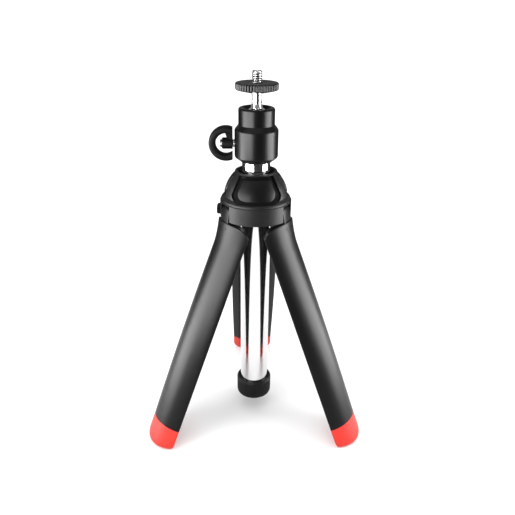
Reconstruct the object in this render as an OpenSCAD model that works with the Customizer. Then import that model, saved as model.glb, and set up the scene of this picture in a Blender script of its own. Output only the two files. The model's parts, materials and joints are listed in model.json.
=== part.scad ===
// Table tripod with three folding legs, a telescopic centre column and a small ball head.
// +Z is up. The origin is the centre of the camera seat, on the axis of the camera screw.
// Heights (names ending in _h) are above the ground; down() moves them to the origin.
// Leg 1 points backwards (+Y), leg 2 front left and leg 3 front right.

/* [Stance] */
// Distance from a hinge down the folding leg's own axis to the ground
leg_len = 165.4; // [136:0.2:220]
// Angle of an open leg from the vertical
leg_splay = 22.5; // [18:0.1:27]

/* [Legs] */
// Room between the folded legs and the end cap of the column
leg_room = 0.5; // [0.4:0.1:1]
// Thickness of a leg below its shoulder
leg_t = 6.3; // [6:0.1:8]
// Extra thickness at the middle of the leg
leg_barrel = 0.6; // [0:0.1:1.5]
// Thickness of a leg at the foot
leg_end_t = 6.1; // [5.6:0.1:7]
// How far the shoulder at the top of a leg flares out
shoulder_flare = 2.4; // [1.5:0.1:3.4]
// Height of the shoulder's flare
shoulder_len = 17; // [12:0.5:24]
// Radius that rounds the two top corners
shoulder_round = 8; // [4:0.5:10]
// Angle that one leg takes of the circle round the column
leg_arc = 118.4; // [112:0.1:119]
// Wall of the hollow leg
leg_wall = 1.9; // [1.2:0.1:2.2]
// Length of the rubber foot below the black leg
foot_len = 11.9; // [9:0.1:16]
// Radius of the rubber foot's lower edge
foot_round = 5.5; // [3:0.5:5.5]
// Depth that the foot's plug reaches into the leg
foot_plug = 12; // [6:0.5:20]

/* [Hinges] */
// Distance of a hinge pin outside the legs' inner faces
hinge_out = 5.1; // [5:0.1:5.6]
// Radius of a hinge pin
pin_r = 1.5; // [1.2:0.05:1.8]
// Length of a hinge pin on each side of its slot
pin_bite = 1.5; // [1:0.1:1.5]
// Width of the tongue on top of a leg
tongue_w = 9; // [7:0.1:9.2]
// Wall of the tongue round its pin
tongue_wall = 2.9; // [2.2:0.1:3]
// Thickness of a hinge washer
washer_t = 0.35; // [0.2:0.05:0.4]

/* [Shoulder] */
// How far the skirt stands out over the legs' shoulders
skirt_lip = 1.3; // [0.9:0.1:2.2]
// Distance of the skirt's lower edge below the hinge pins
skirt_drop = 5.3; // [4.8:0.1:5.5]
// Distance of the crown above the hinge pins
crown_rise = 24.4; // [22:0.1:34]
// Radial room between the crown and the outer tube
crown_room = 2; // [1.4:0.1:2.4]
// Width of the crown's upper edge
crown_wall = 1.7; // [1.3:0.1:2.6]
// Thickness of the skirt's wall
skirt_wall = 2.2; // [1.7:0.1:2.3]
// Depth of the window round a panel
window_depth = 1.4; // [0.6:0.1:1.5]
// Gap between a panel and the edge of its window
window_gap = 1.7; // [0.5:0.1:2.2]

/* [Column] */
// Outer radius of the outer tube
tube_r = 9.8; // [8.2:0.1:11.8]
// Wall of each tube
tube_wall = 0.6; // [0.4:0.05:0.8]
// Radial room between one tube and the next
tube_gap = 0.35; // [0.25:0.05:0.5]
// Length of the outer tube
tube_len = 166.5; // [138:0.5:200]
// How much shorter the middle tube is
tube_step = 14.4; // [8:0.1:20]
// Length of a glide sleeve
glide_len = 28; // [15:1:40]
// Wall of the rubber end cap
cap_wall = 2.6; // [2:0.1:3.2]
// Length of the end cap
cap_len = 14; // [9:0.5:20]
// Length of bright neck that shows under the head
neck_len = 6; // [3:0.1:12]

/* [Ball head] */
// Radius of the ball
ball_r = 7.5; // [6.3:0.1:9]
// How far the top of the ball stands over the mouth
ball_show = 0.8; // [0.6:0.1:1.3]
// Wall of the head beside the ball
head_wall = 3.65; // [3.3:0.05:4.4]
// How far the lower barrel stands out from the upper one
head_step = 2.35; // [1.2:0.05:3]
// Height of the head from its base to its mouth
head_len = 32.9; // [31:0.1:40]
// Height of the lower barrel
barrel_len = 20; // [18:0.1:24]
// Radius of the bright stem over the ball
stem_r = 3.05; // [2.6:0.05:3.15]
// Height of the camera seat over the ball's centre
seat_rise = 21.3; // [19:0.1:28]
// Thickness of the soft seat under the ball
seat_t = 2.3; // [1.5:0.1:3]
// Distance of the clamp screw below the ball's seat
clamp_drop = 5.2; // [4:0.1:6]
// Radius of the clamp screw (M5)
clamp_r = 2.5; // [2:0.25:3]

/* [Clamp knob] */
// Outer radius of the half-round knob
knob_r = 10.7; // [9.5:0.1:12.8]
// Width of the knob's curved arm
knob_arm = 4.3; // [3:0.1:5.3]
// Room between the head and the knob's flat side
knob_room = 1.1; // [0.7:0.1:3]
// Distance of the knob's round from its flat side
knob_offset = 4.1; // [2:0.1:5]
// Thickness of the knob
knob_t = 6.6; // [5:0.1:8]
// Wall of the boss round the clamp screw
boss_wall = 1; // [0.7:0.1:1.5]

/* [Camera seat] */
// Radius of the lock disc
disc_r = 13; // [10.8:0.1:16]
// Thickness of the lock disc's rim
disc_t = 3.9; // [3:0.1:6]
// Width of the bare rim outside the rubber pad
pad_margin = 1.5; // [0.8:0.1:3]
// Inner radius of the rubber pad
pad_in_r = 5.5; // [4.5:0.1:6.5]
// Radius of the camera screw (1/4 inch)
screw_r = 3.175; // [3.175]
// Length of screw that stands out of the seat
screw_len = 6.6; // [4.5:0.1:8]

/* [Hidden] */

$fn = 96;
eps = 0.01;
// Clearance of a running fit
run = 0.05;
// Clearance between pieces that are pressed or screwed together
snug = 0.02;
// Length that a cutting solid sticks out
over = 1;

// Directions of the legs and of the panels between them
leg_dirs = [90, 210, 330];
panel_dirs = [270, 30, 150];

// Turned radii of the column and the legs, each on the one inside it
cap_r = tube_r + cap_wall;
leg_in_r = cap_r + leg_room;
leg_r = leg_in_r + leg_t;
leg_end_r = leg_in_r + leg_end_t;
shoulder_r = leg_r + shoulder_flare;
hinge_r = leg_in_r + hinge_out;
skirt_r = shoulder_r + skirt_lip;
core_r = skirt_r - skirt_wall - run;
bore_r = tube_r + snug;
crown_open_r = tube_r + crown_room;
crown_r = crown_open_r + crown_wall;

// Hinges
side_room = 0.15;
tongue_r = pin_r + tongue_wall;
slot_w = tongue_w + 2 * (washer_t + side_room);
pin_len = slot_w + 2 * pin_bite;

// Shoulder
hinge_h = hinge_r * sin(leg_splay) + leg_len * cos(leg_splay);
skirt_h = hinge_h - skirt_drop;
crown_h = hinge_h + crown_rise;
core_h = skirt_h + 1;
slot_top_h = hinge_h + tongue_r + 0.7;
core_top_h = slot_top_h + 1.1;
belt_h = core_top_h + 0.4;
funnel_h = crown_h - 7.4;
slot_in_r = leg_in_r - 0.4;

// Screws that hold the cover down on the core
fix_r = 1.1;
fix_head_r = 2.1;
fix_head_h = 1.5;
fix_bite = 4;
screw_circle_r = (bore_r + core_r) / 2;

// Strap lug on the left of the skirt
lug_dir = 180;
lug_w = 5;
lug_reach = 2.2;
lug_root = 1.5;
lug_peg_r = 1.3;
lug_eye_r = 0.8;
lug_low_h = skirt_h - 0.4;
lug_high_h = skirt_h + 6.9;
lug_mid_h = (lug_low_h + lug_high_h) / 2;

// Column
mid_r = tube_r - tube_wall - tube_gap;
in_r = mid_r - tube_wall - tube_gap;
tube_top_h = crown_h - 2.9;
tube_h = tube_top_h - tube_len;
mid_top_h = crown_h - 0.8;
in_top_h = crown_h - 0.4;
mid_h = mid_top_h - tube_len + tube_step;
in_h = mid_h + 4;
lip_len = 3;
neck_r = mid_r;
cap_h = tube_h - 2.2;
head_h = in_top_h + neck_len;

// Ball head
head_top_r = ball_r + head_wall;
head_r = head_top_r + head_step;
head_bore_r = head_top_r - 2.45;
mouth_h = head_h + head_len;
ball_h = mouth_h + ball_show - ball_r;
seat_h = ball_h + seat_rise;
seat_ring_h = ball_h - ball_r - seat_t;
clamp_h = seat_ring_h - clamp_drop;
base_top_h = head_h + 5.4;
plunger_h = base_top_h + 1;
plunger_r = head_bore_r - 3 * run;
disc_h = seat_h - disc_t - 0.2;
pad_r = disc_r - pad_margin;
pad_sink = 1.1;
stem_top_h = disc_h - 2;
shank_r = stem_r - 1.05;
shank_len = 10;
pin_tip_r = 2.2;
pin_tip_len = 1.6;
pin_in_x = 2.4;
pin_out_x = head_bore_r + 0.6;

// Clamp knob
knob_x = head_r + knob_room;
knob_cx = knob_x + knob_offset;
knob_open_r = knob_r - knob_arm;
boss_r = clamp_r + boss_wall;
boss_end_x = knob_cx + 2.6;

// Legs
shell_len = leg_len - foot_len;
leg_top = -skirt_drop - 1.8;
foot_gap = 0.1;
// Depth of the outer edge of the sole below the hinge, measured on a folded leg
sole_depth = (hinge_h + (leg_end_r - hinge_r) * sin(leg_splay)) / cos(leg_splay);

module down() {
    translate([0, 0, -seat_h]) children();
}

module ring(r_out, r_in, h0, h1) {
    translate([0, 0, h0]) difference() {
        cylinder(r = r_out, h = h1 - h0);
        translate([0, 0, -over]) cylinder(r = r_in, h = h1 - h0 + 2 * over);
    }
}

module rod(r, h0, h1) {
    translate([0, 0, h0]) cylinder(r = r, h = h1 - h0);
}

// A rod along X between two distances from the column's axis, on the knob's side
module side_rod(r, x0, x1) {
    translate([-x1, 0, clamp_h]) rotate([0, 90, 0]) cylinder(r = r, h = x1 - x0);
}

// Points of an arc in a turned outline
function arc(cx, cy, r, a0, a1, n = 6) = [for (i = [0:n]) let (a = a0 + (a1 - a0) * i / n)
    [cx + r * cos(a), cy + r * sin(a)]];

// ---- Camera seat ----

module camera_stud() color("silver") down() {
    groove = 0.6;
    chamfer = 0.7;
    difference() {
        rotate_extrude() polygon(concat(
            [[0, stem_top_h - shank_len], [shank_r, stem_top_h - shank_len], [shank_r, stem_top_h],
            [screw_r, stem_top_h], [screw_r, seat_h - groove], [screw_r - groove, seat_h - groove],
            [screw_r - groove, seat_h + 0.1], [screw_r, seat_h + 0.1]],
            [[screw_r, seat_h + screw_len - chamfer], [screw_r - chamfer, seat_h + screw_len],
            [0, seat_h + screw_len]]));
        // Driving hollow in the screw's end
        translate([0, 0, seat_h + screw_len - 0.8]) cylinder(r1 = 0.6, r2 = 1.2, h = 0.8 + eps);
    }
}

module lock_disc() color("dimgray") down() {
    rim_top = seat_h - 0.2;
    edge = 0.45;
    hub_r = 6;
    difference() {
        rotate_extrude() polygon([[screw_r + run, disc_h - 1.7], [hub_r, disc_h - 1.7],
            [disc_r - edge, disc_h - 0.2], [disc_r, disc_h + edge], [disc_r, rim_top - edge],
            [disc_r - edge, rim_top], [screw_r + run, rim_top]]);
        // Seat of the rubber pad
        ring(pad_r + snug, pad_in_r - snug, seat_h - pad_sink, seat_h + over);
    }
}

module disc_pad() color("black") down() ring(pad_r, pad_in_r, seat_h - pad_sink + eps, seat_h);

// ---- Ball head ----

module ball_stem() color("gainsboro") down() difference() {
    union() {
        translate([0, 0, ball_h]) sphere(r = ball_r);
        rod(stem_r, ball_h, stem_top_h);
        // Flare where the stem leaves the ball
        translate([0, 0, ball_h + ball_r - 1]) cylinder(r1 = stem_r + 0.8, r2 = stem_r, h = 2.6);
    }
    rod(shank_r + snug, stem_top_h - shank_len - eps, stem_top_h + over);
}

module head_housing() color([0.13, 0.13, 0.14]) down() {
    edge = 2.2;
    foot_edge = 2.4;
    taper = 2.8;
    fine = 0.6;
    step_h = head_h + barrel_len;
    lip = 1.3;
    difference() {
        rotate_extrude() polygon(concat(
            [[0, head_h], [head_r - foot_edge - 1.7, head_h], [head_r - fine, head_h + foot_edge],
            [head_r, head_h + foot_edge + fine]],
            arc(head_r - 1, step_h - 1, 1, 0, 55),
            [[head_top_r, step_h + taper]],
            arc(head_top_r - edge, mouth_h - edge, edge, 0, 90),
            [[0, mouth_h]]));
        rod(head_bore_r, head_h - over, ball_h - 1.7);
        translate([0, 0, ball_h]) sphere(r = ball_r + 4 * run);
        // Flared mouth that lets the stem lean over
        translate([0, 0, mouth_h - 3]) cylinder(r1 = ball_r - 0.9, r2 = ball_r + 1.1, h = 3 + eps);
        side_rod(clamp_r + run, head_bore_r - over, head_r + over);
    }
}

module ball_seat() color("white") down() difference() {
    rod(head_bore_r - 4 * run, seat_ring_h, ball_h - 2.2);
    translate([0, 0, ball_h]) sphere(r = ball_r + run);
    rod(3, seat_ring_h - over, ball_h);
}

module lift_plunger() color("darkkhaki") down() difference() {
    rod(plunger_r, plunger_h, seat_ring_h - run);
    side_rod(pin_tip_r + run, pin_in_x - 0.8, head_bore_r + over);
}

module pressure_pin() color("silver") down() {
    side_rod(pin_tip_r, pin_in_x + pin_tip_len, pin_out_x);
    translate([-pin_in_x - pin_tip_len, 0, clamp_h]) rotate([0, 90, 0])
        cylinder(r1 = pin_tip_r, r2 = 0.8, h = pin_tip_len);
}

module clamp_screw() color("silver") down() {
    side_rod(clamp_r, pin_out_x + run, boss_end_x + 0.2);
    // Rounded polished end
    translate([-boss_end_x - 0.2, 0, clamp_h]) rotate([0, -90, 0])
        cylinder(r1 = clamp_r, r2 = clamp_r - 0.9, h = 0.9);
}

module clamp_knob() color([0.1, 0.1, 0.1]) down() {
    web_t = 3.4;
    difference() {
        union() {
            translate([-knob_cx, knob_t / 2, clamp_h]) rotate([90, 0, 0]) difference() {
                cylinder(r = knob_r, h = knob_t);
                translate([0, 0, -over]) cylinder(r = knob_open_r, h = knob_t + 2 * over);
            }
            // Web that joins the two horns to the boss
            translate([-knob_x - web_t, -knob_t / 2 + 1, clamp_h - knob_open_r - 0.6])
                cube([web_t, knob_t - 2, 2 * knob_open_r + 1.2]);
            side_rod(boss_r, knob_x, boss_end_x);
        }
        // Flat side towards the head
        translate([-knob_x, -knob_r, clamp_h - knob_r - over])
            cube([knob_r * 2, knob_r * 2, 2 * knob_r + 2 * over]);
        side_rod(clamp_r + snug, knob_x - over, boss_end_x + over);
    }
}

module head_base() color("dimgray") down() ring(head_bore_r - snug, screw_r + snug, head_h, base_top_h);

// ---- Column ----

module column_head() color("gainsboro") down() {
    spigot = 8;
    difference() {
        union() {
            rod(neck_r, in_top_h, head_h);
            rod(in_r - tube_wall - snug, in_top_h - spigot, in_top_h + eps);
            rod(screw_r, head_h - eps, base_top_h - 0.5);
        }
        // Shallow line round the foot of the neck
        ring(neck_r + over, neck_r - 0.25, in_top_h + 0.5, in_top_h + 0.9);
    }
}

// A tube with its top end drawn in by lip_in over lip_len
module drawn_tube(r, h0, h1, lip_in) {
    bend = 0.5;
    rotate_extrude() polygon([[r - tube_wall, h0], [r, h0], [r, h1 - lip_len],
        [r - lip_in, h1 - lip_len + bend], [r - lip_in, h1], [r - tube_wall - lip_in, h1],
        [r - tube_wall - lip_in, h1 - lip_len], [r - tube_wall, h1 - lip_len - bend]]);
}

module outer_tube() color("gainsboro") down()
    drawn_tube(tube_r, tube_h, tube_top_h, tube_gap - 2 * run);

module middle_tube() color("gainsboro") down()
    drawn_tube(mid_r, mid_h, mid_top_h, tube_gap - 2 * run);

module inner_tube() color("gainsboro") down() ring(in_r, in_r - tube_wall, in_h, in_top_h);

module middle_glide() color("peru") down()
    ring(tube_r - tube_wall - run, mid_r, mid_h, mid_h + glide_len);

module inner_glide() color("peru") down()
    ring(mid_r - tube_wall - run, in_r, in_h, in_h + glide_len);

module tube_plug() color("dimgray") down() {
    rod(tube_r - tube_wall - snug, tube_h, tube_h + 9);
}

module end_cap() color([0.08, 0.08, 0.08]) down() {
    top_edge = 1.1;
    round_r = 2;
    difference() {
        rotate_extrude() polygon(concat([[0, cap_h]],
            arc(cap_r - round_r, cap_h + round_r, round_r, -90, 0),
            [[cap_r, cap_h + cap_len - top_edge], [cap_r - top_edge, cap_h + cap_len],
            [0, cap_h + cap_len]]));
        rod(tube_r + snug, tube_h - eps, cap_h + cap_len + over);
    }
}

// ---- Shoulder ----

module hub_core() color([0.2, 0.2, 0.21]) down() difference() {
    ring(core_r, bore_r, core_h, core_top_h);
    for (a = leg_dirs) rotate([0, 0, a]) {
        translate([slot_in_r, -slot_w / 2, core_h - over])
            cube([core_r, slot_w, core_top_h - core_h + 2 * over]);
        translate([hinge_r, -pin_len / 2 - 0.2, hinge_h]) rotate([-90, 0, 0])
            cylinder(r = pin_r + snug, h = pin_len + 0.4);
    }
    for (a = panel_dirs) rotate([0, 0, a]) translate([screw_circle_r, 0, 0]) {
        rod(fix_r + snug, core_h - over, core_top_h + over);
        rod(fix_head_r + run, core_h - over, core_h + fix_head_h);
    }
}

// Outline of the shoulder from the skirt's edge over the rounded shoulder to the crown
function shoulder_outline() = concat(
    [[skirt_r, skirt_h], [skirt_r, belt_h - 1.4], [skirt_r - 0.3, belt_h - 0.9]],
    arc(skirt_r - 3.1, belt_h - 0.9, 2.6, 0, 28, 4),
    [for (i = [0:8]) let (t = i / 8)
        [crown_r + (skirt_r - 2.4 - crown_r) * (1 - t) + 1.1 * sin(180 * pow(t, 0.8)),
        belt_h + 2.2 + (crown_h - 0.8 - belt_h - 2.2) * (t + 0.057 * sin(180 * t))]],
    [[crown_r - 0.25, crown_h - 0.25], [crown_r - 0.8, crown_h]]);

// Outline of a panel's window, across and up, narrowed by inset all round
module window_outline(inset) {
    low = belt_h + 0.9 + inset;
    high = crown_h - 0.8 - inset;
    half_low = skirt_r - 7.6 - inset;
    half_high = crown_r - 2.9 - inset;
    corner = 4.2;
    hull() {
        for (s = [-1, 1]) {
            translate([s * (half_low - corner), low + corner]) circle(r = corner, $fn = 32);
            translate([s * (half_high - 1), high - 1]) circle(r = 1, $fn = 32);
        }
    }
}

// The part of the shoulder's skin, from depth d0 to d1, behind a window
module window_skin(d0, d1, inset) {
    intersection() {
        rotate([90, 0, 0]) linear_extrude(height = skirt_r + 2) window_outline(inset);
        difference() {
            shoulder_solid(d0);
            shoulder_solid(d1);
        }
    }
}

module shoulder_solid(depth) {
    rotate_extrude() polygon(concat([[0, skirt_h]],
        [for (p = shoulder_outline()) [p[0] - depth, p[1]]], [[0, crown_h]]));
}

module shoulder_cover() color([0.16, 0.16, 0.17]) down() difference() {
    shoulder_solid(0);
    // Pocket for the hub's core
    rod(core_r + run, skirt_h - over, core_top_h + eps);
    rod(bore_r, skirt_h, crown_h + over);
    translate([0, 0, funnel_h])
        cylinder(r1 = bore_r, r2 = crown_open_r, h = crown_h - funnel_h + eps);
    for (a = leg_dirs) rotate([0, 0, a])
        translate([slot_in_r, -slot_w / 2, skirt_h - over])
            cube([skirt_r, slot_w, slot_top_h - skirt_h + over]);
    for (a = panel_dirs) rotate([0, 0, a + 90]) window_skin(-2, window_depth, 0);
    for (a = panel_dirs) rotate([0, 0, a]) translate([screw_circle_r, 0, 0])
        rod(fix_r + snug, core_top_h - over, core_top_h + fix_bite);
    rotate([0, 0, lug_dir]) translate([core_r - over, 0, lug_mid_h]) rotate([0, 90, 0])
        cylinder(r = lug_peg_r + snug, h = skirt_wall + 2 * over);
}

module window_panel(a) color([0.12, 0.12, 0.13]) down()
    rotate([0, 0, a + 90]) window_skin(0.1, window_depth, window_gap);

module window_panel_1() window_panel(panel_dirs[0]);
module window_panel_2() window_panel(panel_dirs[1]);
module window_panel_3() window_panel(panel_dirs[2]);

module strap_lug() color([0.1, 0.1, 0.1]) down() rotate([0, 0, lug_dir]) difference() {
    union() {
        difference() {
            translate([skirt_r - lug_root, lug_w / 2, 0]) rotate([90, 0, 0]) linear_extrude(height = lug_w)
                polygon(concat([[0, lug_low_h + 1.2]],
                    arc(lug_root + lug_reach - 1.1, lug_low_h + 2.6, 1.1, -60, 0),
                    arc(lug_root + lug_reach - 1.8, lug_high_h - 1.8, 1.8, 0, 90),
                    [[0, lug_high_h]]));
            rod(skirt_r + snug, skirt_h - over, crown_h);
        }
        translate([core_r + 2 * run, 0, lug_mid_h]) rotate([0, 90, 0])
            cylinder(r = lug_peg_r, h = skirt_wall + 0.6);
    }
    translate([skirt_r + lug_reach - 1.25, -lug_w, lug_high_h - 2.1]) rotate([-90, 0, 0])
        cylinder(r = lug_eye_r, h = 2 * lug_w);
}

module hinge_pins() color("silver") down()
    for (a = leg_dirs) rotate([0, 0, a]) translate([hinge_r, -pin_len / 2, hinge_h])
        rotate([-90, 0, 0]) cylinder(r = pin_r, h = pin_len);

module hinge_washers() color("silver") down()
    for (a = leg_dirs, s = [0, 1]) rotate([0, 0, a]) mirror([0, s, 0])
        translate([hinge_r, slot_w / 2 - washer_t, hinge_h]) rotate([-90, 0, 0]) difference() {
            cylinder(r = tongue_r - 0.8, h = washer_t);
            translate([0, 0, -over]) cylinder(r = pin_r + snug, h = washer_t + 2 * over);
        }

module cover_screws() color("dimgray") down()
    for (a = panel_dirs) rotate([0, 0, a]) translate([screw_circle_r, 0, 0]) difference() {
        union() {
            rod(fix_r, core_h + fix_head_h - eps, core_top_h + fix_bite - 0.3);
            rod(fix_head_r, core_h + 0.1, core_h + fix_head_h);
        }
        for (t = [0, 90]) rotate([0, 0, t])
            translate([-1.2, -0.25, core_h - over]) cube([2.4, 0.5, over + 0.7]);
    }

// ---- Legs ----

// Moves a leg from its folded place, hinge at the origin's height, to its open place
module open_leg(i) {
    down() rotate([0, 0, leg_dirs[i]]) translate([hinge_r, 0, hinge_h])
        rotate([0, -leg_splay, 0]) translate([-hinge_r, 0, 0]) children();
}

// Outer radius of the leg at depth z below the hinge
function leg_out(z) = let (flare_end = -leg_top + shoulder_len, t = (z - flare_end) / (shell_len - flare_end))
    z < flare_end
        ? leg_r + (shoulder_r - leg_r) * pow((flare_end - z) / shoulder_len, 1.6)
        : leg_r + (leg_end_r - leg_r) * t * t + leg_barrel * sin(180 * t);

function leg_levels(n, a, b) = [for (i = [0:n]) a + (b - a) * i / n];

// Sector of a turned body, centred on the leg's own direction
module sector(half, r_cut = 60, h0 = -260, h1 = 20) {
    translate([0, 0, h0]) linear_extrude(height = h1 - h0)
        polygon([[0, 0], [r_cut * cos(half), -r_cut * sin(half)], [r_cut * 1.6, 0],
            [r_cut * cos(half), r_cut * sin(half)]]);
}

module leg_shell() {
    flare_end = -leg_top + shoulder_len;
    levels = concat(leg_levels(6, -leg_top, flare_end), leg_levels(8, flare_end + 8, shell_len));
    side_off = leg_wall / sin(leg_arc / 2);
    edge = 1.2;
    difference() {
        intersection() {
            rotate_extrude() polygon(concat(
                [[leg_in_r, -shell_len], [leg_in_r, leg_top]],
                [[shoulder_r - edge, leg_top]],
                [for (z = levels) if (z > -leg_top + edge) [leg_out(z), -z]]));
            sector(leg_arc / 2);
            shoulder_outline_cut();
        }
        // Hollow, open at the foot
        intersection() {
            rotate_extrude() polygon([[leg_in_r + leg_wall, -shell_len - over],
                [leg_in_r + leg_wall, leg_top - 6], [leg_end_r - leg_wall, leg_top - 6],
                [leg_end_r - leg_wall, -shell_len - over]]);
            translate([side_off, 0, 0]) sector(leg_arc / 2);
        }
    }
}

// Rounds the two top corners of a leg, seen from outside
module shoulder_outline_cut() {
    half = shoulder_r * sin(leg_arc / 2);
    translate([5, 0, 0]) rotate([90, 0, 90]) linear_extrude(height = 30)
        polygon(concat([[-half, -shell_len - over], [half, -shell_len - over]],
            arc(half - shoulder_round, leg_top - shoulder_round, shoulder_round, 0, 90, 8),
            arc(shoulder_round - half, leg_top - shoulder_round, shoulder_round, 90, 180, 8)));
}

module leg(i) color([0.09, 0.09, 0.1]) open_leg(i) difference() {
    union() {
        leg_shell();
        // Tongue that turns on the hinge pin, leaning in so that it stays in its slot
        translate([hinge_r, tongue_w / 2, 0]) rotate([90, 0, 0]) linear_extrude(height = tongue_w)
            polygon([[-tongue_r, 0], [-tongue_r, leg_top - 6.5], [2.6, leg_top - 6.5],
                [2.8, leg_top], [tongue_r - 0.3, -1.2], [tongue_r - 0.6, 0]]);
        translate([hinge_r, -tongue_w / 2, 0]) rotate([-90, 0, 0])
            cylinder(r = tongue_r, h = tongue_w);
    }
    translate([hinge_r, -tongue_w, 0]) rotate([-90, 0, 0])
        cylinder(r = pin_r + run, h = 2 * tongue_w);
}

module leg_1() leg(0);
module leg_2() leg(1);
module leg_3() leg(2);

module foot(i) color([0.9, 0.25, 0.2]) open_leg(i) difference() {
    side_off = (leg_wall + foot_gap) / sin(leg_arc / 2);
    union() {
        intersection() {
            rotate_extrude() polygon(concat([[leg_in_r, -shell_len], [leg_in_r, -sole_depth]],
                arc(leg_end_r - foot_round, foot_round - sole_depth, foot_round, -90, 0, 8),
                [[leg_end_r, -shell_len]]));
            sector(leg_arc / 2);
        }
        // Plug inside the leg
        intersection() {
            rotate_extrude() polygon([[leg_in_r + leg_wall + foot_gap, -shell_len - over],
                [leg_end_r - leg_wall - foot_gap, -shell_len - over],
                [leg_end_r - leg_wall - foot_gap, -shell_len + foot_plug],
                [leg_in_r + leg_wall + foot_gap, -shell_len + foot_plug]]);
            translate([side_off, 0, 0]) sector(leg_arc / 2);
        }
    }
    // Sole, level with the ground when the leg is open
    translate([hinge_r, 0, 0]) rotate([0, leg_splay, 0]) translate([-100, -60, -hinge_h - 80])
        cube([200, 120, 80]);
}

module foot_1() foot(0);
module foot_2() foot(1);
module foot_3() foot(2);

camera_stud();
lock_disc();
disc_pad();
ball_stem();
head_housing();
ball_seat();
lift_plunger();
pressure_pin();
clamp_screw();
clamp_knob();
head_base();
column_head();
inner_tube();
inner_glide();
middle_tube();
middle_glide();
outer_tube();
end_cap();
tube_plug();
hub_core();
shoulder_cover();
window_panel_1();
window_panel_2();
window_panel_3();
strap_lug();
hinge_pins();
hinge_washers();
cover_screws();
leg_1();
leg_2();
leg_3();
foot_1();
foot_2();
foot_3();
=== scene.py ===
import json
import math

import bmesh
import bpy
from mathutils import Matrix, Vector


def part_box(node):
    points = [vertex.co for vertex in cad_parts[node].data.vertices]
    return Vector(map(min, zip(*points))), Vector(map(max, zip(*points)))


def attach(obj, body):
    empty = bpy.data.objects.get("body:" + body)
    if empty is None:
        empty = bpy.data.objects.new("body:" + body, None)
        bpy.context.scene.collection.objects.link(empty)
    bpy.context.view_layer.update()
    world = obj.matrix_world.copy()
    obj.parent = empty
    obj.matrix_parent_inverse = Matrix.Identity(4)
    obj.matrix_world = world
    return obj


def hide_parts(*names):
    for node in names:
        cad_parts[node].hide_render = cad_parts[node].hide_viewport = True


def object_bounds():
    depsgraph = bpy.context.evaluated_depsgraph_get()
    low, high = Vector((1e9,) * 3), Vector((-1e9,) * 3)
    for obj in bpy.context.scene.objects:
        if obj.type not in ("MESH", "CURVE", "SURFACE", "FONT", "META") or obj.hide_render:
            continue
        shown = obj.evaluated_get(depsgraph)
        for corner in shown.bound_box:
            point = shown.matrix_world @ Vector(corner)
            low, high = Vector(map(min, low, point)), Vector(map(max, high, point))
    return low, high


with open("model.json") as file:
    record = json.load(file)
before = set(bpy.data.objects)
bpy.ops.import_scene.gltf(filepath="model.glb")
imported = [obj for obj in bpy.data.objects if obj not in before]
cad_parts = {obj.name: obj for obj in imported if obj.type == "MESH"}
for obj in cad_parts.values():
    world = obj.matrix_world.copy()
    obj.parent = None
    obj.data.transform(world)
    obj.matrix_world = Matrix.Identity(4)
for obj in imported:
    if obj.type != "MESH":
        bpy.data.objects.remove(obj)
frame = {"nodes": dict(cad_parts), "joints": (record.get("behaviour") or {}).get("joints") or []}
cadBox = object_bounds()
tau = 2 * math.pi
mm = 0.001
roundSteps = (90, 70, 50, 30, 10)  # degrees along a rounded edge
print("frame loaded:", len(frame["nodes"]), "nodes")

# camera: eye in metres, angles in degrees
camera = {"eye": (-0.0090, -0.3386, 0.0466), "heading": 1.79, "pitch": 25.4, "roll": 0.73,
          "lens": 38.76, "sensor": 36.0}


def placeCamera(c):
    pitch, roll = math.radians(c["pitch"]), math.radians(c["roll"])
    right = Vector((1, 0, 0))
    up = Vector((0, math.sin(pitch), math.cos(pitch)))
    ahead = Vector((0, math.cos(pitch), -math.sin(pitch)))
    tiltRight = right * math.cos(roll) + up * math.sin(roll)
    tiltUp = up * math.cos(roll) - right * math.sin(roll)
    turn = Matrix.Rotation(-math.radians(c["heading"]), 3, "Z")
    axes = Matrix((turn @ tiltRight, turn @ tiltUp, turn @ -ahead)).transposed().to_4x4()
    data = bpy.data.cameras.new("camera")
    data.lens = c["lens"]
    data.sensor_width = c["sensor"]
    data.clip_start = 0.01
    obj = bpy.data.objects.new("camera", data)
    obj.matrix_world = Matrix.Translation(c["eye"]) @ axes
    bpy.context.scene.collection.objects.link(obj)
    bpy.context.scene.camera = obj


placeCamera(camera)


def link(name, mesh):
    obj = bpy.data.objects.new(name, mesh)
    bpy.context.scene.collection.objects.link(obj)
    return obj


def meshFrom(name, points, faces, sharp=35):
    mesh = bpy.data.meshes.new(name)
    mesh.from_pydata([tuple(p) for p in points], [], faces)
    work = bmesh.new()
    work.from_mesh(mesh)
    bmesh.ops.remove_doubles(work, verts=work.verts, dist=1e-7)
    bmesh.ops.recalc_face_normals(work, faces=work.faces)
    work.to_mesh(mesh)
    work.free()
    mesh.polygons.foreach_set("use_smooth", [True] * len(mesh.polygons))
    mesh.set_sharp_from_angle(angle=math.radians(sharp))
    return mesh


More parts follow.
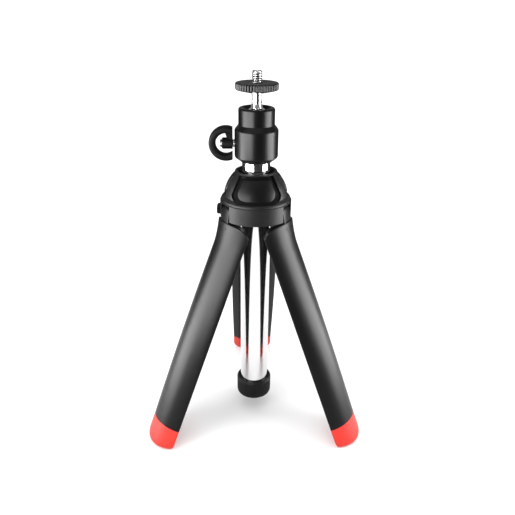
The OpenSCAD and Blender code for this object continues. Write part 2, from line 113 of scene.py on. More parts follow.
def roundCorners(outline, steps=5, closed=False):
    # outline holds (x, y, radius); each corner with a radius becomes an arc
    made = []
    count = len(outline)
    for i, (x, y, radius) in enumerate(outline):
        here = Vector((x, y))
        if radius <= 0 or (not closed and i in (0, count - 1)):
            made.append((x, y))
            continue
        before = Vector(outline[i - 1][:2]) - here
        after = Vector(outline[(i + 1) % count][:2]) - here
        opening = before.angle(after)
        back = radius / math.tan(opening / 2)
        back = min(back, before.length * 0.49, after.length * 0.49)
        radius = back * math.tan(opening / 2)
        start, end = here + before.normalized() * back, here + after.normalized() * back
        halfway = (before.normalized() + after.normalized()).normalized()
        centre = here + halfway * radius / math.sin(opening / 2)
        first, last = start - centre, end - centre
        swing = first.angle(last)
        side = 1 if first.x * last.y - first.y * last.x > 0 else -1
        for k in range(steps + 1):
            a = side * swing * k / steps
            made.append((centre.x + first.x * math.cos(a) - first.y * math.sin(a),
                         centre.y + first.x * math.sin(a) + first.y * math.cos(a)))
    return made


def skin(rows, closedRound=True, capEnds=True):
    # joins rows of equal length into one surface
    points = [p for row in rows for p in row]
    wide = len(rows[0])
    faces = []
    last = wide if closedRound else wide - 1
    for r in range(len(rows) - 1):
        for c in range(last):
            d = (c + 1) % wide
            faces.append((r * wide + c, r * wide + d, (r + 1) * wide + d, (r + 1) * wide + c))
    if capEnds:
        faces.append(tuple(reversed(range(wide))))
        faces.append(tuple((len(rows) - 1) * wide + c for c in range(wide)))
    return points, faces


def turned(name, profile, steps=96, closed=False, shape=None, sharp=35):
    # turns a (radius, height) profile round Z; shape may change a point by its angle
    rows = []
    for r, z in profile:
        row = []
        for k in range(steps):
            a = tau * k / steps
            rr, zz = shape(r, z, a) if shape else (r, z)
            row.append((rr * math.cos(a), rr * math.sin(a), zz))
        rows.append(row)
    if closed:
        rows.append(rows[0])
    points, faces = skin(rows, capEnds=not closed)
    return meshFrom(name, points, faces, sharp)


def finishPiece(name, mesh, body, material, slotName, *nodes):
    obj = link(name, mesh)
    mesh.materials.append(material)
    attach(obj, body)
    if nodes:
        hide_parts(*nodes)
    return obj


def surface(name, colour, second, rough, roughSpread=0.06, metal=0.0, patch=60.0, grain=1800.0,
            bump=0.1, bumpDepth=0.00004, stretch=(1, 1, 1), level=0.5, paintedShadeRadii=None):
    mat = bpy.data.materials.new(name)
    mat.use_nodes = True
    nodes, links = mat.node_tree.nodes, mat.node_tree.links
    shader = nodes["Principled BSDF"]
    coords = nodes.new("ShaderNodeTexCoord")
    scale = nodes.new("ShaderNodeMapping")
    scale.inputs["Scale"].default_value = stretch
    links.new(coords.outputs["Object"], scale.inputs["Vector"])
    patches = nodes.new("ShaderNodeTexNoise")
    patches.inputs["Scale"].default_value = patch
    patches.inputs["Detail"].default_value = 5.0
    links.new(scale.outputs["Vector"], patches.inputs["Vector"])
    grains = nodes.new("ShaderNodeTexNoise")
    grains.inputs["Scale"].default_value = grain
    grains.inputs["Detail"].default_value = 3.0
    links.new(scale.outputs["Vector"], grains.inputs["Vector"])
    blend = nodes.new("ShaderNodeMixRGB")
    blend.inputs["Color1"].default_value = (*colour, 1)
    blend.inputs["Color2"].default_value = (*second, 1)
    links.new(patches.outputs["Fac"], blend.inputs["Fac"])
    tone = blend.outputs["Color"]
    if paintedShadeRadii:
        # painted shade in the grooves: darker towards the smaller of two radii round the column's axis
        flat = nodes.new("ShaderNodeVectorMath")
        flat.operation = "MULTIPLY"
        flat.inputs[1].default_value = (1, 1, 0)
        links.new(coords.outputs["Object"], flat.inputs[0])
        radius = nodes.new("ShaderNodeVectorMath")
        radius.operation = "LENGTH"
        links.new(flat.outputs["Vector"], radius.inputs[0])
        depth = nodes.new("ShaderNodeMapRange")
        depth.inputs["From Min"].default_value, depth.inputs["From Max"].default_value = paintedShadeRadii
        links.new(radius.outputs["Value"], depth.inputs["Value"])
        # colour of the painted groove shade, near black at the roots
        paintedShade = nodes.new("ShaderNodeMixRGB")
        paintedShade.inputs["Color1"].default_value = (*(c * 0.06 for c in colour), 1)
        links.new(depth.outputs["Result"], paintedShade.inputs["Fac"])
        links.new(tone, paintedShade.inputs["Color2"])
        tone = paintedShade.outputs["Color"]
    links.new(tone, shader.inputs["Base Color"])
    spread = nodes.new("ShaderNodeMapRange")
    spread.inputs["To Min"].default_value = max(0.02, rough - roughSpread)
    spread.inputs["To Max"].default_value = rough + roughSpread
    links.new(grains.outputs["Fac"], spread.inputs["Value"])
    links.new(spread.outputs["Result"], shader.inputs["Roughness"])
    relief = nodes.new("ShaderNodeBump")
    relief.inputs["Strength"].default_value = bump
    relief.inputs["Distance"].default_value = bumpDepth
    links.new(grains.outputs["Fac"], relief.inputs["Height"])
    links.new(relief.outputs["Normal"], shader.inputs["Normal"])
    shader.inputs["Metallic"].default_value = metal
    shader.inputs["Specular IOR Level"].default_value = level
    return mat


finishes = {
    "chrome": dict(colour=(0.70, 0.70, 0.705), second=(0.62, 0.62, 0.63), rough=0.08, roughSpread=0.04,
                   metal=1.0, patch=30, grain=900, bump=0.05, stretch=(1, 1, 0.06)),
    # threadSteel paints shade into the roots of the thread
    "threadSteel": dict(colour=(0.80, 0.80, 0.80), second=(0.62, 0.62, 0.62), rough=0.24, metal=1.0,
                        patch=300, grain=4000, bump=0.2, paintedShadeRadii=(0.00272, 0.00312)),
    "brightSteel": dict(colour=(0.62, 0.62, 0.62), second=(0.45, 0.45, 0.46), rough=0.20, metal=1.0,
                        patch=300, grain=4000, bump=0.2),
    "headBlack": dict(colour=(0.0014, 0.0014, 0.0015), second=(0.0032, 0.0030, 0.0030), rough=0.31, patch=500,
                      grain=2600, bump=0.35, bumpDepth=0.00006, level=0.12),
    # discBlack paints shade into the grooves of the knurl
    "discBlack": dict(colour=(0.0050, 0.0050, 0.0052), second=(0.016, 0.015, 0.015), rough=0.34, patch=900,
                      grain=3500, bump=0.3, level=0.20, paintedShadeRadii=(0.01225, 0.0128)),
    "legBlack": dict(colour=(0.0014, 0.0014, 0.0017), second=(0.0030, 0.0028, 0.0030), rough=0.37, patch=240,
                     grain=2400, bump=0.45, bumpDepth=0.00007, level=0.12),
    "hubBlack": dict(colour=(0.0060, 0.0060, 0.0066), second=(0.0100, 0.0096, 0.0104), rough=0.42, patch=160,
                     grain=2000, bump=0.3, level=0.11),
    "panelBlack": dict(colour=(0.0020, 0.0020, 0.0022), second=(0.0040, 0.0038, 0.0040), rough=0.36,
                       patch=120, grain=1500, bump=0.2, level=0.08),
    # near-black matte strip in the panel grooves: painted shade
    "grooveShadeBlack": dict(colour=(0.0012, 0.0012, 0.0012), second=(0.002, 0.002, 0.002), rough=0.85, patch=300,
                        grain=2600, bump=0.3, level=0.04),
    "knobBlack": dict(colour=(0.0010, 0.0010, 0.0010), second=(0.0024, 0.0024, 0.0025), rough=0.50, patch=500,
                      grain=3000, bump=0.5, bumpDepth=0.00006, level=0.07),
    "capBlack": dict(colour=(0.0018, 0.0018, 0.0018), second=(0.0036, 0.0036, 0.0036), rough=0.50, patch=300,
                     grain=2500, bump=0.4, level=0.14),
    "padBlack": dict(colour=(0.012, 0.012, 0.012), second=(0.024, 0.024, 0.024), rough=0.50, patch=900,
                     grain=4000, bump=0.4, level=0.35),
    "footRed": dict(colour=(0.62, 0.034, 0.024), second=(0.53, 0.027, 0.018), rough=0.42, patch=110,
                    grain=1700, bump=0.3, level=0.16),
    "nylonWhite": dict(colour=(0.72, 0.72, 0.68), second=(0.64, 0.63, 0.58), rough=0.45, patch=200,
                       grain=1500, bump=0.2),
    "brassDull": dict(colour=(0.55, 0.42, 0.20), second=(0.42, 0.31, 0.14), rough=0.34, metal=1.0,
                      patch=300, grain=2500, bump=0.3),
    "sleeveBrown": dict(colour=(0.20, 0.13, 0.08), second=(0.14, 0.09, 0.05), rough=0.5, patch=200,
                        grain=1500, bump=0.2),
    "screwBlack": dict(colour=(0.020, 0.020, 0.020), second=(0.045, 0.045, 0.045), rough=0.35, metal=0.6,
                       patch=700, grain=3000, bump=0.3),
}
skinOf = {name: surface(name, **values) for name, values in finishes.items()}
print("materials:", len(skinOf))

nodeFinish = {
    "ball_stem": "chrome", "column_head": "chrome", "inner_tube": "chrome", "middle_tube": "chrome",
    "outer_tube": "chrome", "camera_stud": "brightSteel", "pressure_pin": "brightSteel",
    "clamp_screw": "brightSteel", "hinge_pins": "brightSteel", "hinge_washers": "brightSteel",
    "head_housing": "headBlack", "head_base": "headBlack", "lock_disc": "discBlack",
    "disc_pad": "padBlack", "ball_seat": "nylonWhite", "lift_plunger": "brassDull",
    "clamp_knob": "knobBlack", "strap_lug": "knobBlack", "inner_glide": "sleeveBrown",
    "middle_glide": "sleeveBrown", "end_cap": "capBlack", "tube_plug": "hubBlack",
    "hub_core": "hubBlack", "shoulder_cover": "hubBlack", "window_panel_1": "panelBlack",
    "window_panel_2": "panelBlack", "window_panel_3": "panelBlack", "cover_screws": "screwBlack",
    "leg_1": "legBlack", "leg_2": "legBlack", "leg_3": "legBlack",
    "foot_1": "footRed", "foot_2": "footRed", "foot_3": "footRed",
}
for node, look in nodeFinish.items():
    slots = frame["nodes"][node].data.materials
    if not slots:
        slots.append(skinOf[look])
    for i in range(len(slots)):
        slots[i] = skinOf[look]

# flank and crest are shares of one pitch; dish holds (share of radius, depth) of the hollow end
thread = {"flank": 0.36, "crestEnd": 0.50, "dish": ((0.55, 0.0), (0.40, 0.5 * mm))}
screw = {"crest": 3.175 * mm, "root": 2.60 * mm, "pitch": 1.27 * mm, "turnSteps": 72, "pitchSteps": 14,
         "chamfer": 0.7 * mm, "unshadedEnd": 0.75 * mm}


def threadRadius(share, crest, root):
    # one pitch of a rolled thread: flank, crest, flank, root
    flank, crestEnd = thread["flank"], thread["crestEnd"]
    if share < flank:
        return root + (crest - root) * share / flank
    if share < crestEnd:
        return crest
    if share < crestEnd + flank:
        return crest - (crest - root) * (share - crestEnd) / flank
    return root


def threaded(name, low, high, crest, root, pitch, turnSteps, pitchSteps, chamfer):
    # a rod along Z whose wall carries a right-hand thread, chamfered at its upper end
    count = max(2, round((high - low) / pitch * pitchSteps))
    rows = []
    for i in range(count + 1):
        z = low + (high - low) * i / count
        row = []
        for k in range(turnSteps):
            a = tau * k / turnSteps
            r = threadRadius((z / pitch - a / tau) % 1.0, crest, root)
            r = min(r, crest - chamfer + (high - z))
            row.append((r * math.cos(a), r * math.sin(a), z))
        rows.append(row)
    dish = [[(x * share, y * share, high - deep) for x, y, z in rows[-1]] for share, deep in thread["dish"]]
    points, faces = skin(rows + dish)
    return meshFrom(name, points, faces, 50)


studLow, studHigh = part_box("camera_stud")
stud = threaded("cameraScrew", studLow.z, studHigh.z, screw["crest"], screw["root"], screw["pitch"],
                screw["turnSteps"], screw["pitchSteps"], screw["chamfer"])
finishPiece("cameraScrew", stud, "ball", skinOf["threadSteel"], "bright_steel", "camera_stud")
# the chamfered end gets no painted shade
stud.materials.append(skinOf["brightSteel"])
for face in stud.polygons:
    if face.center.z > studHigh.z - screw["unshadedEnd"]:
        face.material_index = 1

disc = {"ribs": 44, "ribDepth": 0.55 * mm, "stepsPerRib": 8, "hubR": 6.0 * mm, "cone": 1.5 * mm,
        "bevel": 0.55 * mm, "rimIn": 0.5 * mm, "padIn": 5.45 * mm, "room": 0.05 * mm, "grooveHalf": 0.30}


def buildDisc():
    low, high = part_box("lock_disc")
    outer, hole = high.x, screw["crest"] + disc["room"]
    padLow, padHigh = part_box("disc_pad")
    padOut, padIn = padHigh.x + disc["room"], disc["padIn"]
    rim, bevel = outer - disc["rimIn"], disc["bevel"]
    top, coneTop = high.z, low.z + disc["cone"]
    profile = roundCorners([
        (hole, low.z, 0), (disc["hubR"], low.z, 0.3 * mm), (rim, coneTop, 0),
        (outer, coneTop + bevel, 0.15 * mm), (outer, top - bevel, 0.15 * mm),
        (rim, top, 0.1 * mm), (padOut + 0.1 * mm, top, 0.1 * mm),
        (padOut, padLow.z, 0.1 * mm), (padIn, padLow.z, 0.1 * mm), (padIn, top, 0.2 * mm),
        (hole, top, 0)], steps=3)

    def knurl(r, z, a):
        if r < padOut + 0.3 * mm or z < coneTop - 0.01 * mm:
            return r, z
        share = (a / tau * disc["ribs"]) % 1.0
        groove = max(0.0, 1 - abs(share - 0.5) / disc["grooveHalf"])
        edge = min(1.0, (r - padOut - 0.3 * mm) / (outer - padOut - 0.6 * mm))
        return r - disc["ribDepth"] * groove * edge, z

    mesh = turned("lockDisc", profile, disc["ribs"] * disc["stepsPerRib"], True, knurl, 28)
    finishPiece("lockDisc", mesh, "disc", skinOf["discBlack"], "black_knurl", "lock_disc")


buildDisc()

pad = {"rings": 9, "studs": 72, "relief": 0.16 * mm, "steps": 288, "inner": 5.5 * mm, "edge": 0.15 * mm,
       "rowsPerRing": 4}


def buildPad():
    low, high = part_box("disc_pad")
    inner, outer = pad["inner"], high.x
    rowCount = pad["rings"] * pad["rowsPerRing"]
    profile = [(inner, low.z), (outer, low.z), (outer, high.z - pad["edge"])]
    tops = [(outer - (outer - inner) * i / rowCount, high.z) for i in range(1, rowCount)]
    profile += tops + [(inner, high.z - pad["edge"])]

    def waffle(r, z, a):
        if z < high.z - 0.01 * mm:
            return r, z
        across = (r - inner) / (outer - inner) * pad["rings"]
        around = a / tau * pad["studs"]
        rising = abs(math.sin(math.pi * (across + around / 2)))
        falling = abs(math.sin(math.pi * (across - around / 2)))
        return r, z - pad["relief"] * (1 - rising * falling)

    mesh = turned("discPad", profile, pad["steps"], True, waffle, 60)
    finishPiece("discPad", mesh, "disc", skinOf["padBlack"], "black_rubber", "disc_pad")


buildPad()
print("camera seat made")

leg = {"rimRound": 0.9 * mm, "innerRound": 0.6 * mm, "arc": 118.4, "outer": 19.2 * mm,
       "inner": 12.9 * mm, "flare": 1.6,
       "barrel": 0.6 * mm, "endOuter": 19.0 * mm, "shoulder": 21.6 * mm, "shoulderDrop": 17 * mm,
       "topBelowHinge": 7.1 * mm, "cornerRound": 8 * mm, "topRound": 1.3 * mm, "shell": 153.5 * mm,
       "splay": 22.5, "tongueWide": 9 * mm, "tongueRound": 4.4 * mm, "tongueBevel": 0.5 * mm,
       "tongueDown": 5 * mm, "pinHole": 1.55 * mm}
foot = {"toeRound": 4.2 * mm, "toeHigh": 6.2 * mm, "innerRoundEdge": 0.7 * mm, "sideRound": 1.6 * mm,
        "lipIn": 0.25 * mm, "wallSteps": 6, "toeSteps": 10, "edgeLoss": 0.6}


def legSection(outer, inner, half, rimRound, innerRound, inset=0.0, arcSteps=26, cornerSteps=5):
    # outline of a leg across its length, counted the same way at every level
    def cornerAngle(reach, r):
        return half - math.asin(min(0.98, (r + inset) / reach))

    pts = []
    outFar = outer - rimRound
    outAngle = cornerAngle(outFar, rimRound)
    inFar = inner + innerRound
    inAngle = cornerAngle(inFar, innerRound)
    for k in range(arcSteps + 1):
        a = -outAngle + 2 * outAngle * k / arcSteps
        pts.append((outer * math.cos(a), outer * math.sin(a)))
    for side in (1, -1):
        corner = []
        for k in range(1, cornerSteps + 1):
            swing = outAngle + (half + math.pi / 2 - outAngle) * k / cornerSteps
            corner.append((outFar * math.cos(outAngle) + rimRound * math.cos(swing),
                           outFar * math.sin(outAngle) + rimRound * math.sin(swing)))
        for k in range(cornerSteps + 1):
            swing = half + math.pi / 2 + (inAngle + math.pi - half - math.pi / 2) * k / cornerSteps
            corner.append((inFar * math.cos(inAngle) + innerRound * math.cos(swing),
                           inFar * math.sin(inAngle) + innerRound * math.sin(swing)))
        if side == 1:
            pts += corner
            for k in range(1, arcSteps):
                a = inAngle - 2 * inAngle * k / arcSteps
                pts.append((inner * math.cos(a), inner * math.sin(a)))
        else:
            pts += [(x, -y) for x, y in reversed(corner)]
    return pts


def legOuter(depth):
    flareEnd = leg["topBelowHinge"] + leg["shoulderDrop"]
    if depth < flareEnd:
        share = max(0.0, (flareEnd - depth) / leg["shoulderDrop"])
        return leg["outer"] + (leg["shoulder"] - leg["outer"]) * share ** leg["flare"]
    t = (depth - flareEnd) / (leg["shell"] - flareEnd)
    return leg["outer"] + (leg["endOuter"] - leg["outer"]) * t * t + leg["barrel"] * math.sin(math.pi * t)


def openLeg(node):
    # the joint's place and axis carry a folded leg to its open place
    joint = next(j for j in frame["joints"] if j["child"] == node)
    hinge, axis = Vector(joint["pos_m"]), Vector(joint["axis"])
    turn = Matrix.Rotation(math.radians(leg["splay"]), 4, axis)
    around = math.atan2(hinge.y, hinge.x)
    lift = Matrix.Translation((0, 0, hinge.z))
    swing = Matrix.Translation(hinge) @ turn @ Matrix.Translation(-hinge)
    return swing @ lift @ Matrix.Rotation(around, 4, "Z"), math.hypot(hinge.x, hinge.y), hinge.z


def buildLeg(number, body):
    place, hingeR, hingeZ = openLeg(body)
    half = math.radians(leg["arc"] / 2)
    top, corner = leg["topBelowHinge"], leg["cornerRound"]
    # levels are closest together where the top edge and its corners are round
    depths = [top + leg["topRound"] * (1 - math.sin(math.radians(a))) for a in roundSteps + (0,)]
    depths += [top + corner * s for s in (0.27, 0.36, 0.48, 0.62, 0.80, 1.0)]
    depths += [top + 10.5 * mm, top + 13.5 * mm, top + 16 * mm, top + leg["shoulderDrop"]]
    start = depths[-1]
    depths += [start + (leg["shell"] - start) * k / 16 for k in range(1, 17)]
    rows = []
    for depth in depths:
        d = depth - top
        edge = 0.0
        if d < leg["topRound"]:
            edge = leg["topRound"] - math.sqrt(max(0.0, leg["topRound"] ** 2 - (leg["topRound"] - d) ** 2))
        narrow = 0.0
        if d < corner:
            narrow = corner - math.sqrt(max(0.0, corner ** 2 - (corner - d) ** 2))
        outer = legOuter(depth) - edge
        wide = leg["shoulder"] * math.sin(half) - narrow - edge * 0.5
        level = min(half, math.asin(min(1.0, wide / outer)))
        rows.append([(x, y, -depth) for x, y in legSection(
            outer, leg["inner"] + edge * 0.4, level, leg["rimRound"], leg["innerRound"])])
    points, faces = skin(rows)
    points = [place @ Vector(p) for p in points]
    finishPiece(f"legShell{number}", meshFrom(f"legShell{number}", points, faces, 40), body,
                skinOf["legBlack"], "leg_black", f"leg_{number}")
    buildTongue(number, body, place, hingeR)
    buildFoot(number, body, place, hingeR, hingeZ)


def buildTongue(number, body, place, hingeR):
    # plate that turns on the hinge pin, with a bevelled edge and a pin hole
    r, low = leg["tongueRound"], leg["topBelowHinge"] + leg["tongueDown"]
    outline = [(r * math.cos(math.pi * k / 20), r * math.sin(math.pi * k / 20)) for k in range(21)]
    outline += [(-r, -low), (2.4 * mm, -low), (2.8 * mm, -leg["topBelowHinge"]), (r - 0.3 * mm, -1.2 * mm)]
    halfWide, bevel = leg["tongueWide"] / 2, leg["tongueBevel"]
    rows = []
    oneEdge = ((-halfWide, bevel), (-halfWide + bevel * 0.3, bevel * 0.3), (-halfWide + bevel, 0))
    for y, shrink in oneEdge + tuple((-y, shrink) for y, shrink in reversed(oneEdge)):
        row = []
        for x, z in outline:
            away = math.hypot(x, z)
            pull = 1 - shrink / max(away, 1e-6)
            row.append((hingeR + x * pull, y, z * pull))
        rows.append(row)
    hole = []
    for y in (halfWide, -halfWide):
        row = []
        for x, z in outline:
            a = math.atan2(z, x)
            row.append((hingeR + leg["pinHole"] * math.cos(a), y, leg["pinHole"] * math.sin(a)))
        hole.append(row)
    points, faces = skin(rows + hole + [rows[0]], capEnds=False)
    points = [place @ Vector(p) for p in points]
    finishPiece(f"legTongue{number}", meshFrom(f"legTongue{number}", points, faces, 35), body,
                skinOf["legBlack"], "leg_black", f"leg_{number}")


def buildFoot(number, body, place, hingeR, hingeZ):
    # rubber foot: meets the leg square, with its first edge drawn in a little, and ends on a level sole
    half = math.radians(leg["arc"] / 2)
    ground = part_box(f"foot_{number}")[0].z
    splay = math.radians(leg["splay"])
    drop = hingeZ - ground

    def soleDepth(x):
        return (drop + (x - hingeR) * math.sin(splay)) / math.cos(splay)

    rows = []
    plan = [(0.0, -foot["lipIn"]), (0.02, 0.0), (0.05, 0.0)]
    plan += [(0.05 + 0.95 * k / foot["wallSteps"], 0.0) for k in range(1, foot["wallSteps"] + 1)]
    for share, swell in plan:
        section = legSection(leg["endOuter"] + swell, leg["inner"] - swell * 0.3, half, leg["rimRound"],
                             leg["innerRound"])
        row = []
        for x, y in section:
            end = soleDepth(x) - foot["toeHigh"]
            row.append((x, y, -(leg["shell"] + (end - leg["shell"]) * share)))
        rows.append(row)
    for k in range(1, foot["toeSteps"] + 1):
        a = math.pi / 2 * k / foot["toeSteps"]
        pull = 1 - math.cos(a)
        left = 1 - foot["edgeLoss"] * pull
        section = legSection(leg["endOuter"] - foot["toeRound"] * pull,
                             leg["inner"] + foot["innerRoundEdge"] * pull, half, leg["rimRound"] * left,
                             leg["innerRound"] * left, foot["sideRound"] * pull)
        rows.append([(x, y, -(soleDepth(x) - foot["toeHigh"] * (1 - math.sin(a)))) for x, y in section])
    points, faces = skin(rows)
    points = [place @ Vector(p) for p in points]
    finishPiece(f"foot{number}", meshFrom(f"foot{number}", points, faces, 40), body,
                skinOf["footRed"], "red_rubber", f"foot_{number}")


for number, body in ((1, "leg_back"), (2, "leg_left"), (3, "leg_right")):
    buildLeg(number, body)
print("legs made")

# smooth head with rounded edges; the clamp screw's hole stays hidden behind the knob
head = {"barrel": 20 * mm, "step": 2.35 * mm, "taper": 2.8 * mm, "mouthRound": 2.2 * mm, "footIn": 4.1 * mm,
        "footHigh": 2.4 * mm, "mouthOut": 8.6 * mm, "mouthIn": 6.6 * mm, "mouthDeep": 3 * mm,
        "bore": 10 * mm}


def buildHead():
    low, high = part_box("head_housing")
    r, base, top = high.x, low.z, high.z
    upper = r - head["step"]
    stepZ = base + head["barrel"]
    profile = roundCorners([
        (head["mouthIn"], top - head["mouthDeep"], 0), (head["mouthOut"], top, 0.25 * mm),
        (upper, top, head["mouthRound"]), (upper, stepZ + head["taper"], 0.25 * mm),
        (upper + 0.12 * mm, stepZ + head["taper"] - 0.1 * mm, 0.1 * mm), (r, stepZ - 0.2 * mm, 1.6 * mm),
        (r, base + head["footHigh"] + 0.6 * mm, 1.9 * mm), (r - head["footIn"], base, 0.5 * mm),
        (head["mouthOut"], base, 0), (head["mouthOut"], base + head["bore"], 0),
        (head["mouthIn"], top - head["mouthDeep"], 0)], steps=7)
    mesh = turned("headHousing", profile[:-1], 128, True, None, 30)
    finishPiece("headHousing", mesh, "head", skinOf["headBlack"], "head_black", "head_housing")


buildHead()

# half-round clamp knob: a round-edged arm that ends flat, with a boss on its own screw
knob = {"outer": 10.7 * mm, "arm": 4.3 * mm, "thick": 6.6 * mm, "edge": 1.5 * mm, "offset": 4.1 * mm,
        "boss": 3.5 * mm, "bossEdge": 0.9 * mm, "bossPast": 2.6 * mm, "web": 3.4 * mm, "screw": 2.5 * mm,
        "screwRoot": 2.1 * mm, "screwPitch": 0.8 * mm, "screwChamfer": 0.5 * mm}


def roundRod(name, x0, x1, r, z, edge, steps=40):
    # rod along X with a rounded end at x1
    side = 1 if x1 > x0 else -1
    profile = [(0.0, x0), (r, x0)]
    profile += [(r - edge + edge * math.sin(math.radians(a)),
                 x1 - side * edge * (1 - math.cos(math.radians(a)))) for a in roundSteps]
    profile.append((0.0, x1))
    rows = []
    for radius, x in profile:
        radius = max(radius, 1e-5)
        rows.append([(x, radius * math.cos(tau * k / steps), z + radius * math.sin(tau * k / steps))
                     for k in range(steps)])
    points, faces = skin(rows)
    return meshFrom(name, points, faces, 40)


def buildKnob():
    low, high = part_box("clamp_knob")
    flat = high.x
    centre, axisZ = flat - knob["offset"], (low.z + high.z) / 2
    inner = knob["outer"] - knob["arm"]
    half = knob["thick"] / 2
    section = roundCorners([(inner, -half, knob["edge"]), (knob["outer"], -half, knob["edge"]),
                            (knob["outer"], half, knob["edge"]), (inner, half, knob["edge"])], 5, True)
    middle = (inner + knob["outer"]) / 2
    rows = []
    # (share of the arc, share of the section's size): both ends are slightly rounded
    ends = [(0.0, 0.80), (0.0, 0.93), (0.004, 1.0)]
    plan = ends + [(0.004 + 0.992 * k / 48, 1.0) for k in range(1, 48)]
    plan += [(1 - share, size) for share, size in reversed(ends)]
    for share, pull in plan:
        row = []
        for rho, y in section:
            rho, y = middle + (rho - middle) * pull, y * pull
            stop = math.acos(min(0.99, (knob["offset"] - (1 - pull) * 0.4 * mm) / rho))
            a = stop + (tau - 2 * stop) * share
            row.append((centre + rho * math.cos(a), y, axisZ + rho * math.sin(a)))
        rows.append(row)
    points, faces = skin(rows)
    finishPiece("clampKnob", meshFrom("clampKnob", points, faces, 45), "knob", skinOf["knobBlack"],
                "knob_black", "clamp_knob")
    boss = roundRod("knobBoss", flat, centre - knob["bossPast"], knob["boss"], axisZ, knob["bossEdge"])
    finishPiece("knobBoss", boss, "knob", skinOf["knobBlack"], "knob_black", "clamp_knob")
    # web between the boss and the upper arm
    thin, top = half - 1.2 * mm, axisZ + inner + 0.9 * mm
    outline = roundCorners([(flat - 0.02 * mm, axisZ, 0), (flat - 0.02 * mm, top, 0),
                            (flat - knob["web"] - 1.2 * mm, top - 0.6 * mm, 0.4 * mm),
                            (flat - knob["web"], axisZ + 3 * mm, 1.0 * mm),
                            (flat - knob["web"], axisZ, 0)], 4, True)
    rows = [[(x, y, z) for x, z in outline] for y in (-thin, thin)]
    points, faces = skin(rows)
    finishPiece("knobWeb", meshFrom("knobWeb", points, faces, 35), "knob", skinOf["knobBlack"], "knob_black",
                "clamp_knob")
    # threaded clamp screw, turned from Z to the knob's side
    sLow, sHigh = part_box("clamp_screw")
    length = sHigh.x - sLow.x
    rod = threaded("clampScrew", 0.0, length, knob["screw"], knob["screwRoot"], knob["screwPitch"], 48, 12,
                   knob["screwChamfer"])
    rod.transform(Matrix.Translation((sHigh.x, 0, axisZ)) @ Matrix.Rotation(math.radians(-90), 4, "Y"))
    finishPiece("clampScrew", rod, "knob", skinOf["brightSteel"], "bright_steel", "clamp_screw")


buildKnob()

# end cap with fine upright ribs over a plain rim
cap = {"ribs": 60, "ribDeep": 0.32 * mm, "stepsPerRib": 6, "bottomRound": 2.0 * mm, "topEdge": 1.1 * mm,
       "plain": 2.6 * mm, "floor": 2.2 * mm, "ribFade": 0.6 * mm, "room": 0.03 * mm, "axisGap": 0.01 * mm}


def buildCap():
    low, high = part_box("end_cap")
    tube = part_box("outer_tube")[1].x + cap["room"]
    r = high.x
    ribLow, ribHigh = low.z + cap["plain"], high.z - cap["topEdge"] - 0.5 * mm
    levels = [ribLow + (ribHigh - ribLow) * k / 10 for k in range(11)]
    side = [(r, z, 0) for z in levels]
    inside = low.z + cap["floor"]
    profile = roundCorners([(cap["axisGap"], low.z + 0.3 * mm, 0), (r - 3.4 * mm, low.z, 1.5 * mm)] +
                           [(r - cap["bottomRound"] * (1 - math.sin(math.radians(a))),
                             low.z + cap["bottomRound"] * (1 - math.cos(math.radians(a))), 0)
                            for a in (10, 30, 50, 70)] + side +
                           [(r, high.z - cap["topEdge"], 0.3 * mm), (r - cap["topEdge"], high.z, 0.4 * mm),
                            (tube, high.z, 0.2 * mm), (tube, inside, 0), (cap["axisGap"], inside, 0)],
                           steps=3)

    def rib(radius, z, a):
        if radius < r - 0.05 * mm or z < ribLow - 0.01 * mm or z > ribHigh + 0.01 * mm:
            return radius, z
        rise = min(1.0, (z - ribLow) / cap["ribFade"], (ribHigh - z) / cap["ribFade"])
        share = (a / tau * cap["ribs"]) % 1.0
        return radius - cap["ribDeep"] * rise * (1 - abs(math.sin(math.pi * share)) ** 0.7), z

    mesh = turned("endCap", profile, cap["ribs"] * cap["stepsPerRib"], True, rib, 40)
    finishPiece("endCap", mesh, "hub", skinOf["capBlack"], "black_rubber", "end_cap")


buildCap()

# crowned panels in the shoulder's windows, each with a near-black strip in the gap round it as painted shade
# in the groove
panel = {"lowAcross": 15.3 * mm, "highAcross": 10.6 * mm, "corner": 4.2 * mm, "highCorner": 1.0 * mm,
         "gap": 1.7 * mm, "deep": 1.4 * mm, "belt": 6.6 * mm, "crown": 24.4 * mm, "skirt": 22.9 * mm,
         "crownR": 13.5 * mm, "directions": (270, 30, 150), "shadeStripDeep": 1.15 * mm, "shadeStripThick": 0.2 * mm,
         "shadeStripRoom": 0.06 * mm, "shadeStripUnder": 0.5 * mm, "skinDeep": 0.10 * mm}


def shoulderRadius(rise):
    # radius of the shoulder's skin at a height over the hinge pins
    low, high = panel["belt"] + 2.2 * mm, panel["crown"] - 0.8 * mm
    if rise <= low:
        share = min(1.0, max(0.0, (rise - panel["belt"] + 0.9 * mm) / (3.1 * mm)))
        return panel["skirt"] - 0.5 * mm - 1.9 * mm * share ** 2
    t = min(1.0, (rise - low) / (high - low))
    for _ in range(6):
        t = min(1.0, max(0.0, (rise - low) / (high - low) - 0.057 * math.sin(math.pi * t)))
    span = panel["skirt"] - 2.4 * mm - panel["crownR"]
    return panel["crownR"] + span * (1 - t) + 1.1 * mm * math.sin(math.pi * t ** 0.8)


